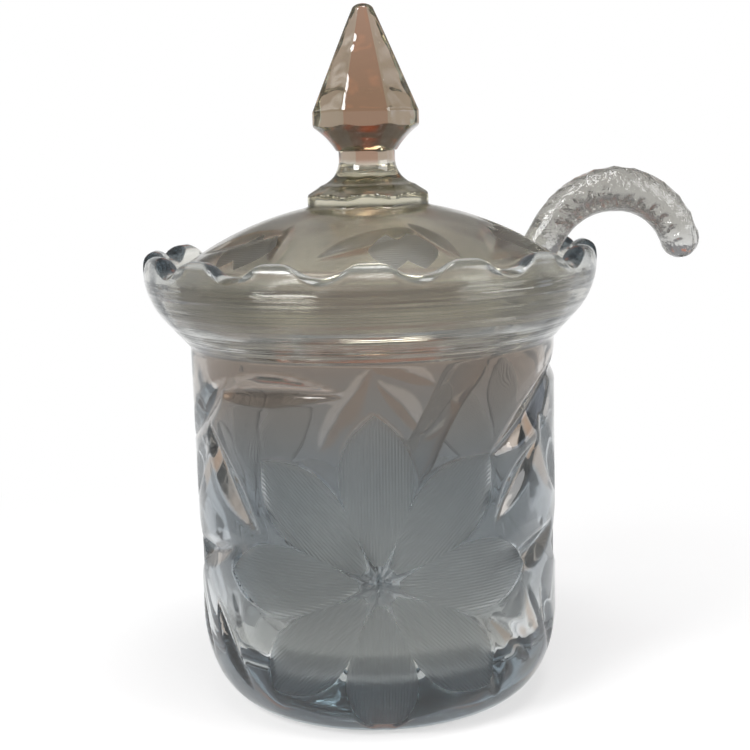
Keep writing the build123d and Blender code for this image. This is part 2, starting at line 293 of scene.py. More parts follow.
def shade(piece, crisp_above, material):
    """Smooth shading, with edges kept sharp over 60 degrees, or over 25 above a height."""
    mesh = piece.data
    mesh.polygons.foreach_set("use_smooth", np.ones(len(mesh.polygons), bool))
    sharp = {}
    for limit in (60, 25):
        mesh.set_sharp_from_angle(angle=math.radians(limit))
        sharp[limit] = np.zeros(len(mesh.edges), bool)
        mesh.edges.foreach_get("use_edge_sharp", sharp[limit])
    heights = np.empty(3 * len(mesh.vertices), np.float32)
    mesh.vertices.foreach_get("co", heights)
    ends = np.empty(2 * len(mesh.edges), np.int32)
    mesh.edges.foreach_get("vertices", ends)
    middle = heights[2::3][ends.reshape(-1, 2)].mean(1)
    mesh.edges.foreach_set("use_edge_sharp", np.where(middle > crisp_above, sharp[25], sharp[60]))
    mesh.materials.clear()
    mesh.materials.append(material)


def press(cut, across, up, leaf, slope):
    """Adds a V-shaped wheel cut to the cuts so far, where it is the deeper.

    Its depth is slope times (half-width - distance from its line); the half-width is
    w (1 - (2 x / length)^2) along it, and the line bows by bend x^2. The cuts are their depths,
    and their faces: 1 on one face of the V, -1 on the other and 0 beside it. The faces later
    choose painted light and painted shade."""
    place, height, turn, length, half_width, bend = leaf
    c, s = math.cos(math.radians(turn)), math.sin(math.radians(turn))
    x = (across - place) * c + (up - height) * s
    y = (up - height) * c - (across - place) * s + bend * (length**2 / 4 - x**2)
    depth = slope * np.clip(half_width * (1 - (2 * x / length) ** 2) - abs(y), 0, None)
    face = np.clip(y / 0.3, -1, 1) * np.clip(depth / 0.2, 0, 1)
    deeper = depth > cut[0]
    return np.where(deeper, depth, cut[0]), np.where(deeper, face, cut[1])


def folded(angle, step):
    """The angle brought within half a step of zero."""
    return (angle + step / 2) % step - step / 2


def body_cuts(azimuth, height):
    """Depths of all the cuts on the body, in millimetres, and their faces, at an azimuth and a height."""
    third = TAU / FLOWERS
    turn = folded(azimuth - FRONT, third)
    across = BODY_RADIUS * turn
    up = height - FLOWER_HEIGHT
    cut = np.zeros((2, *np.broadcast(across, height).shape))
    for leaf in LEAVES:
        for wrap in (-1, 0, 1):
            cut = press(cut, across + wrap * BODY_RADIUS * third, height, leaf, MITRE_SLOPE)
    reach = np.hypot(across, up)
    petal_turn = folded(np.arctan2(up, across), TAU / PETALS)
    along, side = reach * np.cos(petal_turn), reach * np.sin(petal_turn)
    share = np.clip((along - PETAL_START) / PETAL_LENGTH, 0, 1)
    width = PETAL_WIDTH * share**0.8 * (1 - share**3)
    petal = PETAL_DEPTH * np.clip((width - abs(side)) / 0.7, 0, 1)
    star = STAR_DEPTH * np.clip(1 - reach / STAR_RADIUS, 0, 1) * (1 + 0.8 * np.cos(PETALS * petal_turn))
    beside = petal <= 0
    return np.maximum(np.maximum(cut[0] * beside, petal), star), cut[1] * beside


def jar_rows():
    """The jar as rows of points: a turned outline, pressed in by the cuts, with a scalloped lip.

    With them go the cuts' faces at the same points."""
    azimuth = np.arange(COLUMNS) / COLUMNS * TAU
    foot = straight((0, 0), (FOOT_RADIUS, 0), 14)
    heel = arc((FOOT_RADIUS, HEEL_HEIGHT), (BODY_RADIUS - FOOT_RADIUS, HEEL_HEIGHT), -90, 0, 24)
    wall = straight((BODY_RADIUS, HEEL_HEIGHT), (BODY_RADIUS, NECK_HEIGHT), 84)
    slope = straight((BODY_RADIUS, NECK_HEIGHT), FLARE, 8)
    flare_way = (FLARE[0] - BODY_RADIUS, FLARE[1] - NECK_HEIGHT)
    flare = tangent_arc(FLARE, flare_way, (RIM_RADIUS, COLLAR_TOP), 12)
    outside = joined(foot, heel, wall, slope, flare)
    normal = outward_normals(outside)
    depth, face = body_cuts(azimuth[None, :], outside[:, 1:2])
    level = outside[:, 1:2]
    edge = np.clip((level - 0.5) / 3, 0, 1) * np.clip((NECK_HEIGHT - 0.4 - level) / 0.6, 0, 1)
    depth, face = depth * edge, face * edge
    radius = outside[:, :1] - depth * normal[:, :1]
    height = outside[:, 1:2] - depth * normal[:, 1:2]

    # Lip: across it the crown is a circle, whose radius grows by an S from each valley to the peaks
    middle = (RIM_RADIUS + LIP_INNER_RADIUS) / 2
    width = (RIM_RADIUS - LIP_INNER_RADIUS) / 2
    half = middle * math.tan(math.pi / SCALLOPS)
    wheel = (half**2 + VALLEY_DEPTH**2) / (4 * VALLEY_DEPTH)
    turn = folded(azimuth - math.pi / SCALLOPS, TAU / SCALLOPS)
    swing = np.linspace(0, 1, 17)[:, None]
    lip_radius = middle + width * np.cos(np.pi * swing) + 0 * azimuth
    x, y = lip_radius * np.cos(turn), np.minimum(abs(lip_radius * np.sin(turn)), half)
    dip = wheel - np.sqrt(wheel**2 - np.minimum(y, half / 2) ** 2)
    shoulder = VALLEY_DEPTH - wheel + np.sqrt(wheel**2 - (half - np.maximum(y, half / 2)) ** 2)
    crown = LIP_CROWN + np.where(y < half / 2, dip, shoulder)
    valley = RIM_HEIGHT - SCALLOP_DEPTH - LIP_CROWN + np.sqrt(np.maximum(crown**2 - (x - middle) ** 2, 0))
    blank = RIM_HEIGHT - width + np.sqrt(np.maximum(width**2 - (lip_radius - middle) ** 2, 0))
    lip_height = np.minimum(valley, blank)
    outer_share = np.linspace(0, 1, 5)[1:-1, None]
    outer_height = COLLAR_TOP + outer_share * (lip_height[0] - COLLAR_TOP)
    inner_height = lip_height[-1] + outer_share * (LIP_FOOT_HEIGHT - lip_height[-1])

    inside = joined(
        straight((LIP_INNER_RADIUS, LIP_FOOT_HEIGHT), LEDGE, 4),
        straight(LEDGE, (MOUTH_RADIUS, LEDGE[1]), 4),
        straight((MOUTH_RADIUS, LEDGE[1]), (FLOOR_WALL_RADIUS + 0.3, FLOOR + FLOOR_FILLET), 14),
        arc(
            (FLOOR_WALL_RADIUS + 0.3 - FLOOR_FILLET, FLOOR + FLOOR_FILLET),
            (FLOOR_FILLET, FLOOR_FILLET), 0, -90, 10,
        ),
        straight((FLOOR_WALL_RADIUS + 0.3 - FLOOR_FILLET, FLOOR), (0, FLOOR), 6),
    )
    spread = np.ones(COLUMNS)
    radii = np.concatenate([
        radius * spread, 0 * outer_height + RIM_RADIUS, lip_radius,
        0 * inner_height + LIP_INNER_RADIUS, inside[:, :1] * spread,
    ])
    heights = np.concatenate([
        height * spread, outer_height, lip_height, inner_height, inside[:, 1:2] * spread,
    ])
    faces = np.concatenate([face, np.zeros((len(radii) - len(face), COLUMNS))])
    return MM * np.stack([radii * np.cos(azimuth), radii * np.sin(azimuth), heights], -1), faces


def dome_cuts(azimuth, distance):
    """Depths of the cuts on the dome, in millimetres, and their faces, at an azimuth and a distance."""
    step = TAU / DOME_REPEATS
    turn = folded(azimuth - FRONT, step)
    cut = np.zeros((2, *np.broadcast(azimuth, distance).shape))
    for start, reach, tilt, length, half_width, bend in DOME_LEAVES:
        for wrap in (-1, 0, 1):
            swing = turn - math.radians(start) + wrap * step
            across, up = distance * np.sin(swing), distance * (1 - np.cos(swing)) + reach - distance
            cut = press(cut, across, up, (0, 0, tilt, length, half_width, bend), DOME_SLOPE)
    return cut


def lid_rows():
    """The lid as rows of points: finial, dome, flange and hollow underside in one turned outline.

    Round the finial the radius is the smaller of the turned blank's and of the facets' flats. With
    the rows go the cuts' faces at the same points."""
    azimuth = np.arange(COLUMNS) / COLUMNS * TAU
    corner = 1 / math.cos(math.pi / FACETS)
    girdle = GIRDLE_APOTHEM * corner
    foot = FOOT_APOTHEM * corner
    dome_start = (foot, DOME_CENTRE + math.sqrt(DOME_RADIUS**2 - foot**2))
    dome_edge = (DOME_EDGE_RADIUS, DOME_CENTRE + math.sqrt(DOME_RADIUS**2 - DOME_EDGE_RADIUS**2))
    inner = DOME_RADIUS - DOME_WALL
    inner_edge = math.degrees(math.acos(DOME_INNER_EDGE_RADIUS / inner))
    inner_height = DOME_CENTRE + math.sqrt(inner**2 - DOME_INNER_EDGE_RADIUS**2)
    top = arc((0, TIP_HEIGHT - TIP_ROUNDING), (SPIRE_TIP_APOTHEM * 1.25, TIP_ROUNDING), 90, 8, 8)
    head = joined(
        top,
        straight(top[-1], (girdle + 0.01, GIRDLE_TOP), 30),
        straight((girdle + 0.01, GIRDLE_TOP), (girdle, GIRDLE_FOOT), 8),
        tangent_arc(COVE, (1.0, 1.6), (girdle, GIRDLE_FOOT), 24)[::-1],
        straight(COVE, STEM_TOP, 2),
        straight(STEM_TOP, STEM_FOOT, 4),
        tangent_arc(STEM_FOOT, (0, -1), FOOT_SHOULDER, 16),
        straight(FOOT_SHOULDER, (foot, FOOT_EDGE_TOP), 14),
        straight((foot, FOOT_EDGE_TOP), dome_start, 6),
    )
    dome_turn = [math.degrees(math.acos(radius / DOME_RADIUS)) for radius in (foot, DOME_EDGE_RADIUS)]
    dome = arc((0, DOME_CENTRE), (DOME_RADIUS, DOME_RADIUS), *dome_turn, 46)
    rest = joined(
        straight(dome_edge, (FLANGE_RADIUS, FLANGE_TOP), 6),
        straight((FLANGE_RADIUS, FLANGE_TOP), (FLANGE_RADIUS, LID_SEAT), 4),
        straight((FLANGE_RADIUS, LID_SEAT), (FLANGE_INNER_RADIUS, LID_SEAT), 5),
        straight((FLANGE_INNER_RADIUS, LID_SEAT), (DOME_INNER_EDGE_RADIUS, inner_height), 6),
        arc((0, DOME_CENTRE), (inner, inner), inner_edge, 90, 26),
    )
    outline = joined(head, dome, rest)
    on_dome = np.zeros(len(outline), bool)
    on_dome[len(head):len(head) + len(dome)] = True
    blank = outline[:, :1]
    height = outline[:, 1:2]
    share = np.clip((height - GIRDLE_TOP) / (TIP_HEIGHT - GIRDLE_TOP), 0, 1)
    apothem = GIRDLE_APOTHEM + share * (SPIRE_TIP_APOTHEM - GIRDLE_APOTHEM)
    apothem = np.where(height < FOOT_FACETS_TOP, FOOT_APOTHEM, apothem)
    flat = apothem * np.minimum(1 / np.cos(folded(azimuth[None, :] - FRONT, TAU / FACETS)), ARRIS * corner)
    in_head = (np.arange(len(outline)) < len(head) - 1)[:, None]
    radius = np.where(in_head, np.minimum(blank, flat), blank)
    normal = outward_normals(outline)
    fade = np.clip((blank - foot - 0.5) / 1.5, 0, 1) * np.clip((DOME_EDGE_RADIUS - blank) / 1.5, 0, 1)
    depth, face = dome_cuts(azimuth[None, :], blank)
    depth, face = depth * fade * on_dome[:, None], face * fade * on_dome[:, None]
    radius = radius + depth * normal[:, :1]
    heights = height + depth * normal[:, 1:2] + 0 * azimuth
    return MM * np.stack([radius * np.cos(azimuth), radius * np.sin(azimuth), heights], -1)[::-1], face[::-1]


def notch_rows():
    """The notch's cutter: a round-ended slot standing upright, as rows of points from its foot up."""
    turn = np.linspace(0, TAU, 96, endpoint=False)
    middle = NOTCH_END + FLANGE_RADIUS
    long = middle - NOTCH_END - NOTCH_HALF_WIDTH
    out = middle + np.sign(np.cos(turn)) * long + NOTCH_HALF_WIDTH * np.cos(turn)
    side = NOTCH_HALF_WIDTH * np.sin(turn)
    c, s = math.cos(LADLE_AZIMUTH), math.sin(LADLE_AZIMUTH)
    x, y = out * c - side * s, out * s + side * c
    levels = (LID_SEAT - 2, LID_SEAT - 2, DOME_APEX, DOME_APEX)
    sizes = (0, 1, 1, 0)
    centre = (middle * c, middle * s)
    rings = [
        np.stack([centre[0] + size * (x - centre[0]), centre[1] + size * (y - centre[1]), 0 * x + level], -1)
        for size, level in zip(sizes, levels)
    ]
    return MM * np.array(rings)


def in_ladle_plane(reach, side, height):
    """Points from their reach and height in the ladle's plane, and their distance to its left."""
    c, s = math.cos(LADLE_AZIMUTH), math.sin(LADLE_AZIMUTH)
    return MM * np.stack([reach * c - side * s, reach * s + side * c, height + 0 * reach], -1)


def rod_path():
    """Centre line of the ladle's rod: its points, its ways, its radii and its lengths from the foot."""
    tilt = np.array([math.sin(LEAN), math.cos(LEAN)])
    foot = np.array([SHANK_AT_LEDGE + (SHANK_FOOT_HEIGHT - LEDGE[1]) * math.tan(LEAN), SHANK_FOOT_HEIGHT])
    start = np.array([SHANK_AT_LEDGE + (HOOK_START_HEIGHT - LEDGE[1]) * math.tan(LEAN), HOOK_START_HEIGHT])
    inward = np.array([tilt[1], -tilt[0]])
    rise_centre = start + HOOK_RISE_BEND * inward
    crown = rise_centre + np.array([0, HOOK_RISE_BEND])
    fall_centre = crown - np.array([0, HOOK_FALL_BEND])
    rise = np.linspace(math.pi - LEAN, math.pi / 2, 60)
    fall = np.linspace(math.pi / 2, math.pi / 2 - HOOK_FALL_TURN, 72)
    points = joined(
        straight(foot, start, 190),
        rise_centre + HOOK_RISE_BEND * np.stack([np.cos(rise), np.sin(rise)], 1),
        fall_centre + HOOK_FALL_BEND * np.stack([np.cos(fall), np.sin(fall)], 1),
    )
    ways = np.gradient(points, axis=0)
    ways /= np.hypot(ways[:, 0], ways[:, 1])[:, None]
    lengths = np.concatenate([[0], np.cumsum(np.hypot(*np.diff(points, axis=0).T))])
    knots = np.array([
        0, np.hypot(*(start - foot)),
        np.hypot(*(start - foot)) + HOOK_RISE_BEND * (math.pi / 2 - LEAN), lengths[-1],
    ])
    return points, ways, np.interp(lengths, knots, ROD_RADII), lengths, knots


def rod_rows():
    """The rod as rings round its centre line, with a row of round dips on each flank of the hook.

    A dip's depth falls off as 1 - (along^2 + round^2) / a^2, and fine diamonds run between the rows."""
    points, ways, radii, lengths, knots = rod_path()
    turn = np.linspace(0, TAU, ROD_COLUMNS, endpoint=False)
    handle = np.clip((lengths - knots[1]) / 4, 0, 1)[:, None]
    outer, side = np.cos(turn)[None, :], np.sin(turn)[None, :]
    along = folded(lengths[:, None] - knots[1] - BEAD_PITCH / 2, BEAD_PITCH)
    flank = (abs(folded(turn, TAU)) - BEAD_TURN)[None, :] * radii[:, None]
    dip = BEAD_DEPTH * np.clip(1 - (along**2 + flank**2) / BEAD_RADIUS**2, 0, 1)
    phase = np.pi * lengths[:, None] / BEAD_PITCH
    diamond = abs(np.sin(phase + 4 * turn)) + abs(np.sin(phase - 4 * turn))
    crest = np.clip(0.35 - outer, 0, 1)
    radius = radii[:, None] * (1 + 0 * turn) - handle * (dip + 0.16 * diamond * crest)
    cap = np.linspace(0, math.pi / 2, 14)[1:]
    end, way = points[-1], ways[-1]
    cap_points = end + radii[-1] * np.sin(cap)[:, None] * way
    points = np.concatenate([points[:1], points, cap_points])
    ways = np.concatenate([ways[:1], ways, np.repeat(ways[-1:], len(cap), 0)])
    shrink = np.cos(cap)[:, None]
    radius = np.concatenate([0 * radius[:1], radius, radius[-1:] * np.maximum(shrink, 0)])
    inward = np.stack([ways[:, 1], -ways[:, 0]], 1)
    reach = points[:, :1] + radius * outer * inward[:, :1]
    height = points[:, 1:2] + radius * outer * inward[:, 1:2]
    return in_ladle_plane(reach, radius * side + 0 * reach, height)


def bowl_centre():
    """Reach of the cup's axis in the ladle's plane."""
    rim = BOWL_BOTTOM + BOWL_HEIGHT
    return SHANK_AT_LEDGE + (rim - LEDGE[1]) * math.tan(LEAN) - BOWL_RADIUS + BOWL_WALL / 2


def bowl_rows(wall, top):
    """A cup's blank, turned round its own upright axis, from its foot up to a flat top."""
    turn = np.linspace(0, TAU, 128, endpoint=False)
    outline = joined(
        straight((0, BOWL_BOTTOM + wall), (BOWL_FOOT_RADIUS, BOWL_BOTTOM + wall), 4),
        arc(
            (BOWL_FOOT_RADIUS, BOWL_BOTTOM + BOWL_SHOULDER),
            (BOWL_RADIUS - wall - BOWL_FOOT_RADIUS, BOWL_SHOULDER - wall), -90, 0, 20,
        ),
        straight((BOWL_RADIUS - wall, BOWL_BOTTOM + BOWL_SHOULDER), (BOWL_RADIUS - wall, top), 6),
        straight((BOWL_RADIUS - wall, top), (0, top), 5),
    )
    reach = bowl_centre() + outline[:, :1] * np.cos(turn)
    return in_ladle_plane(reach, outline[:, :1] * np.sin(turn), outline[:, 1:2])


class Signal:
    """A number carried between shader nodes. Arithmetic on it adds the nodes that work it out."""

    def __init__(self, net, socket):
        self.net = net
        self.socket = socket

    def math(self, operation, *others):
        inputs = {0: self, **dict(enumerate(others, 1))}
        return self.net.node("ShaderNodeMath", {"operation": operation}, inputs)

    def __add__(self, other):
        return self.math("ADD", other)

    def __sub__(self, other):
        return self.math("SUBTRACT", other)

    def __rsub__(self, other):
        return self.net.node("ShaderNodeMath", {"operation": "SUBTRACT"}, {0: other, 1: self})

    def __mul__(self, other):
        return self.math("MULTIPLY", other)

    def __truediv__(self, other):
        return self.math("DIVIDE", other)

    def __pow__(self, other):
        return self.math("POWER", other)

    def __abs__(self):
        return self.math("ABSOLUTE")

    __radd__ = __add__
    __rmul__ = __mul__

    def folded(self, step):
        """The value brought within half a step of zero."""
        return (self + step / 2).math("FLOORED_MODULO", step) - step / 2

    def ramp(self, low, high):
        """0 below low, 1 above high, and smooth between them."""
        inputs = {"Value": self, "From Min": low, "From Max": high}
        return self.net.node("ShaderNodeMapRange", {"interpolation_type": "SMOOTHSTEP"}, inputs)

    def between(self, first, second):
        """A mix of two numbers, by this value."""
        return first + self * (second - first)


class Net:
    """The node tree of one material or world, with one method that adds any node."""

    def __init__(self, tree):
        self.tree = tree
        tree.nodes.clear()

    def node(self, kind, settings=None, inputs=None, output=0):
        """Adds a node, with its settings first and then its sockets' values or links."""
        node = self.tree.nodes.new(kind)
        for name, value in (settings or {}).items():
            setattr(node, name, value)
        for name, value in (inputs or {}).items():
            if isinstance(value, Signal):
                self.tree.links.new(value.socket, node.inputs[name])
            else:
                node.inputs[name].default_value = value
        return Signal(self, node.outputs[output]) if node.outputs else node

    def place(self):
        """Object coordinates as three numbers."""
        spot = self.node("ShaderNodeTexCoord", output="Object")
        return spot, [self.node("ShaderNodeSeparateXYZ", {}, {0: spot}, axis) for axis in range(3)]

    def noise(self, spot, scale, detail=2.0):
        """Soft random variation at a scale in waves per metre."""
        inputs = {"Vector": spot, "Scale": scale, "Detail": detail}
        return self.node("ShaderNodeTexNoise", {"normalize": True}, inputs, "Fac")

    def mix(self, amount, first, second):
        """A colour between two."""
        return self.node("ShaderNodeMix", {"data_type": "RGBA"}, {0: amount, 6: first, 7: second}, 2)

    def bump(self, height, distance, strength=1.0, normal=None):
        """Normal of a surface raised by height times distance, in metres."""
        inputs = {"Height": height, "Distance": distance, "Strength": strength}
        if normal is not None:
            inputs["Normal"] = normal
        return self.node("ShaderNodeBump", {}, inputs)

    def cut_painted_light_and_shade(self, finish, plain):
        """A colour with painted light on one face of each V-cut and painted shade on the other, standing in
        for the bright and dark surroundings that the cuts refract.
        """
        face = self.node("ShaderNodeAttribute", {"attribute_name": "cut_face"}, {}, "Fac")
        light, dark = face.math("MAXIMUM", 0), (face * -1).math("MAXIMUM", 0)
        return self.mix(dark, self.mix(light, plain, opaque(finish.painted_light_tint)), opaque(finish.painted_shade_tint))

    def seen(self):
        """1 for rays from the camera, and for those that glass and gloss send on."""
        camera, glossy, through = [
            self.node("ShaderNodeLightPath", output=name)
            for name in ("Is Camera Ray", "Is Glossy Ray", "Is Transmission Ray")
        ]
        return camera.math("MAXIMUM", glossy).math("MAXIMUM", through)

    def glass(self, colour, roughness, normal, index):
        """Clear glass of an index of refraction."""
        return self.node("ShaderNodeBsdfPrincipled", {}, {
            "Base Color": colour, "Roughness": roughness, "Normal": normal, "IOR": index,
            "Transmission Weight": 1.0,
        })


def petal_mask(net, along, side, start, length, width):
    """1 inside a petal: where its half-width, width t^0.8 (1 - t^3), is over the distance from its line."""
    share = ((along - start) / length).math("MAXIMUM", 0).math("MINIMUM", 1)
    half = width * MM * share**0.8 * (1 - share**3)
    return (half - abs(side)).ramp(0, 0.25 * MM)


def crystal(name, tint, pattern):
    """Crystal that darkens with its thickness, and whose faces follow a pattern.

    The pattern takes the net, the object coordinates and their three numbers, and gives the
    faces' colour, roughness and normal."""
    material = bpy.data.materials.new(name)
    material.use_nodes = True
    net = Net(material.node_tree)
    finish = bpy.context.scene.marmalade_finish
    colour, roughness, normal = pattern(net, finish, *net.place())
    surface = net.glass(colour, roughness, normal, finish.index)
    inside = net.node("ShaderNodeVolumeAbsorption", {}, {"Color": opaque(tint), "Density": finish.density})
    net.node("ShaderNodeOutputMaterial", {}, {"Surface": surface, "Volume": inside})
    return material


def opaque(colour):
    """A colour with its alpha."""
    return tuple(colour) + (1.0,)


def jar_faces(net, finish, spot, axes):
    """Frosted flowers and cuts with painted light on one face and painted shade on the other, on a polished
    wall painted lighter at the heel and with painted warm shade under the collar, and a collar with faint
    turning lines.
    """
    z = axes[2]
    mask, lines = body_frost(net, axes)
    collar = z.ramp((NECK_HEIGHT - 2) * MM, (NECK_HEIGHT + 3) * MM)
    level = net.node("ShaderNodeCombineXYZ", {}, {2: z})
    turning = net.noise(level, 420.0, 3.0) * collar * (1 - z.ramp((COLLAR_TOP - 2) * MM, COLLAR_TOP * MM))
    normal = net.bump(net.noise(spot, 60.0, 1.0), 0.0009)
    normal = net.bump(turning, 0.0007, 1.0, normal)
    normal = net.bump(mask * lines, 0.00006, 1.0, normal)
    # Painted light: the heel and foot are lighter, to offset the floor's shadow seen through the thick foot.
    plain = net.mix(z.ramp(10 * MM, 36 * MM), opaque(finish.heel_painted_light_tint), opaque(finish.body_tint))
    # Painted warm shade and reflection on the wall under the collar, rising from 50 to 72 mm.
    plain = net.mix(z.ramp(50 * MM, 72 * MM), plain, opaque(finish.neck_painted_shade_tint))
    plain = net.mix(collar, plain, opaque(finish.collar_tint))
    rim = z.ramp((COLLAR_TOP - 1) * MM, (COLLAR_TOP + 2) * MM)
    # The cuts' faces get painted light on one side and painted shade on the other.
    plain = net.cut_painted_light_and_shade(finish, net.mix(rim, plain, opaque(finish.rim_tint)))
    plain = net.mix(mask, plain, opaque(finish.frost_tint))
    return plain, mask.between(finish.polish + finish.haze * rim, finish.frost), normal


def lid_faces(net, finish, spot, axes):
    """Ground petals on a slightly hazed dome whose cuts carry painted light and shade, under a crisp finial
    with two tones of facets: a painted warm reflection on its square faces, and grey on the faces between
    them.
    """
    z = axes[2]
    mask, lines = dome_frost(net, axes)
    crisp = z.ramp(DOME_APEX * MM, (DOME_APEX + 2) * MM)
    normal = net.bump(net.noise(spot, 60.0, 1.0), 0.0007)
    normal = net.bump(net.noise(spot, 170.0, 1.0) * crisp, 0.0006, 1.0, normal)
    normal = net.bump(mask * lines, 0.00006, 1.0, normal)
    # Painted warm reflection on the finial's square faces, against grey flanks; the stem below keeps its own
    # tint.
    turn = axes[1].math("ARCTAN2", axes[0]) - FRONT
    flank = (turn * (FACETS / 2)).math("COSINE").ramp(-0.05, 0.05)
    facet = net.mix(flank, opaque(finish.flank_tint), opaque(finish.finial_painted_reflection_tint))
    stem = z.ramp((DOME_APEX + 6) * MM, (DOME_APEX + 9) * MM)
    facet = net.mix(stem, opaque(finish.stem_tint), facet)
    # Dome: painted light and painted shade on the two faces of each cut, over the rim tint.
    colour = net.mix(crisp, net.cut_painted_light_and_shade(finish, opaque(finish.rim_tint)), facet)
    colour = net.mix(mask, colour, opaque(finish.frost_tint))
    haze = finish.polish + finish.haze * (1 - crisp)
    return colour, mask.between(haze, finish.frost), normal


def ladle_faces(net, finish, spot, axes):
    """A smooth shank and cup, and a darker hook with a grainy, sparkling skin."""
    hook = axes[2].ramp((RIM_HEIGHT - 6) * MM, (RIM_HEIGHT + 3) * MM)
    normal = net.bump(net.noise(spot, 900.0, 2.0) * hook, 0.0004)
    return net.mix(hook, opaque(finish.shank_tint), opaque(finish.hook_tint)), finish.polish, normal


def body_frost(net, axes):
    """The flowers' petals on the outside of the body, and the fine lines that run along them."""
    x, y, z = axes
    reach = (x * x + y * y) ** 0.5
    turn = (y.math("ARCTAN2", x) - FRONT).folded(TAU / FLOWERS)
    across, up = turn * (BODY_RADIUS * MM), z - FLOWER_HEIGHT * MM
    span = (across * across + up * up) ** 0.5
    petal_turn = up.math("ARCTAN2", across).folded(TAU / PETALS)
    along, side = span * petal_turn.math("COSINE"), span * petal_turn.math("SINE")
    mask = petal_mask(net, along, side, PETAL_START * MM, PETAL_LENGTH * MM, PETAL_WIDTH)
    outside = reach.ramp((BODY_RADIUS - 2.5) * MM, (BODY_RADIUS - 2.2) * MM)
    heel = 1 - z.ramp((HEEL_HEIGHT - 1) * MM, HEEL_HEIGHT * MM)
    under = z.ramp(2.5 * MM, 3.5 * MM) * reach.ramp((FOOT_RADIUS - 1) * MM, FOOT_RADIUS * MM)
    shell = outside.math("MAXIMUM", heel * under)
    mask = mask * shell * span.ramp((STAR_RADIUS - 0.3) * MM, STAR_RADIUS * MM)
    lines = (side * (TAU / (LINE_PITCH * MM)) + along * (0.18 / MM)).math("SINE")
    return mask, 0.5 + 0.5 * lines


def dome_frost(net, axes):
    """Pairs of small petals on the dome, ground across with fine lines."""
    x, y, z = axes
    reach = (x * x + y * y) ** 0.5
    turn = (y.math("ARCTAN2", x) - FRONT).folded(TAU / DOME_REPEATS)
    mask = 0.0
    for distance, angle, length, half_width in DOME_PETALS:
        swing = turn - math.radians(angle)
        across = reach * swing.math("SINE")
        up = reach * swing.math("COSINE") - distance * MM
        half = half_width * MM * (1 - (up / (length * MM)) ** 2)
        petal = (half - abs(across)).ramp(0, 0.25 * MM)
        mask = petal if isinstance(mask, float) else mask.math("MAXIMUM", petal)
    rise = z - DOME_CENTRE * MM
    shell = (reach * reach + rise * rise) ** 0.5
    outside = shell.ramp((DOME_RADIUS - 2) * MM, (DOME_RADIUS - 1.6) * MM)
    lines = (reach * (TAU / (LINE_PITCH * MM))).math("SINE")
    edge = 1 - reach.ramp((DOME_EDGE_RADIUS - 0.1) * MM, (DOME_EDGE_RADIUS + 0.4) * MM)
    return mask * outside * edge, 0.5 + 0.5 * lines


def tint(name, description, default):
    """A colour among the jar's settings."""
    return bpy.props.FloatVectorProperty(
        name=name, description=description, size=3, subtype="COLOR", default=default, min=0.0, max=1.0,
    )


class JarFinish(bpy.types.PropertyGroup):
    """Colours and polish of the glass, among them painted light, painted shade and painted reflections on
    some of its faces.
    """

    jar_tint: tint("Jar tint", "Colour inside the jar's glass", (0.60, 0.66, 0.70))
    lid_tint: tint("Lid tint", "Colour inside the lid's glass", (0.67, 0.65, 0.53))
    ladle_tint: tint("Ladle tint", "Colour inside the ladle's glass", (0.66, 0.66, 0.63))
    body_tint: tint("Body tint", "Colour of the body's polished faces", (0.38, 0.41, 0.43))
    # Painted light on the heel and foot, offsetting the floor's shadow seen through them.
    heel_painted_light_tint: tint("Heel tint", "Colour of the heel's and the foot's faces", (1.00, 0.98, 0.93))
    # Painted warm shade and reflection under the collar.
    neck_painted_shade_tint: tint("Neck tint", "Colour of the faces under the collar", (0.44, 0.38, 0.33))
    collar_tint: tint("Collar tint", "Colour of the collar's faces", (0.57, 0.55, 0.50))
    rim_tint: tint("Rim tint", "Colour of the lip's and the dome's faces", (0.93, 0.91, 0.85))
    stem_tint: tint("Stem tint", "Colour of the faces of the finial's foot", (1.00, 0.97, 0.92))
    # Painted warm reflection on the finial's square faces.
    finial_painted_reflection_tint: tint("Finial tint", "Colour of the finial's square faces", (0.42, 0.26, 0.19))
    flank_tint: tint("Flank tint", "Colour of the finial's faces between them", (0.50, 0.51, 0.46))
    # Painted light and painted shade for the two faces of each cut; the darker one also carries a painted
    # warm reflection.
    painted_light_tint: tint("Light tint", "Colour of the lighter face of each cut", (1.00, 1.00, 1.00))
    painted_shade_tint: tint("Dark tint", "Colour of the darker face of each cut", (0.46, 0.33, 0.24))
    shank_tint: tint("Shank tint", "Colour of the shank's and the cup's faces", (0.88, 0.88, 0.88))
    hook_tint: tint("Hook tint", "Colour of the hook's faces", (0.47, 0.46, 0.43))
    frost_tint: tint("Frost tint", "Colour of the frosted petals", (0.405, 0.42, 0.415))
    density: bpy.props.FloatProperty(
        name="Density", description="How fast the glass darkens with its thickness, per metre",
        default=58.0, min=0.0,
    )
    polish: bpy.props.FloatProperty(
        name="Polish", description="Roughness of the polished glass", default=0.02, min=0.0, max=1.0,
    )
    frost: bpy.props.FloatProperty(
        name="Frost", description="Roughness of the frosted petals", default=0.42, min=0.0, max=1.0,
    )
    haze: bpy.props.FloatProperty(
        name="Haze", description="Extra roughness of the lip and the dome", default=0.16, min=0.0, max=1.0,
    )
    index: bpy.props.FloatProperty(
        name="Index", description="Index of refraction of the crystal", default=1.54, min=1.0, max=2.5,
    )


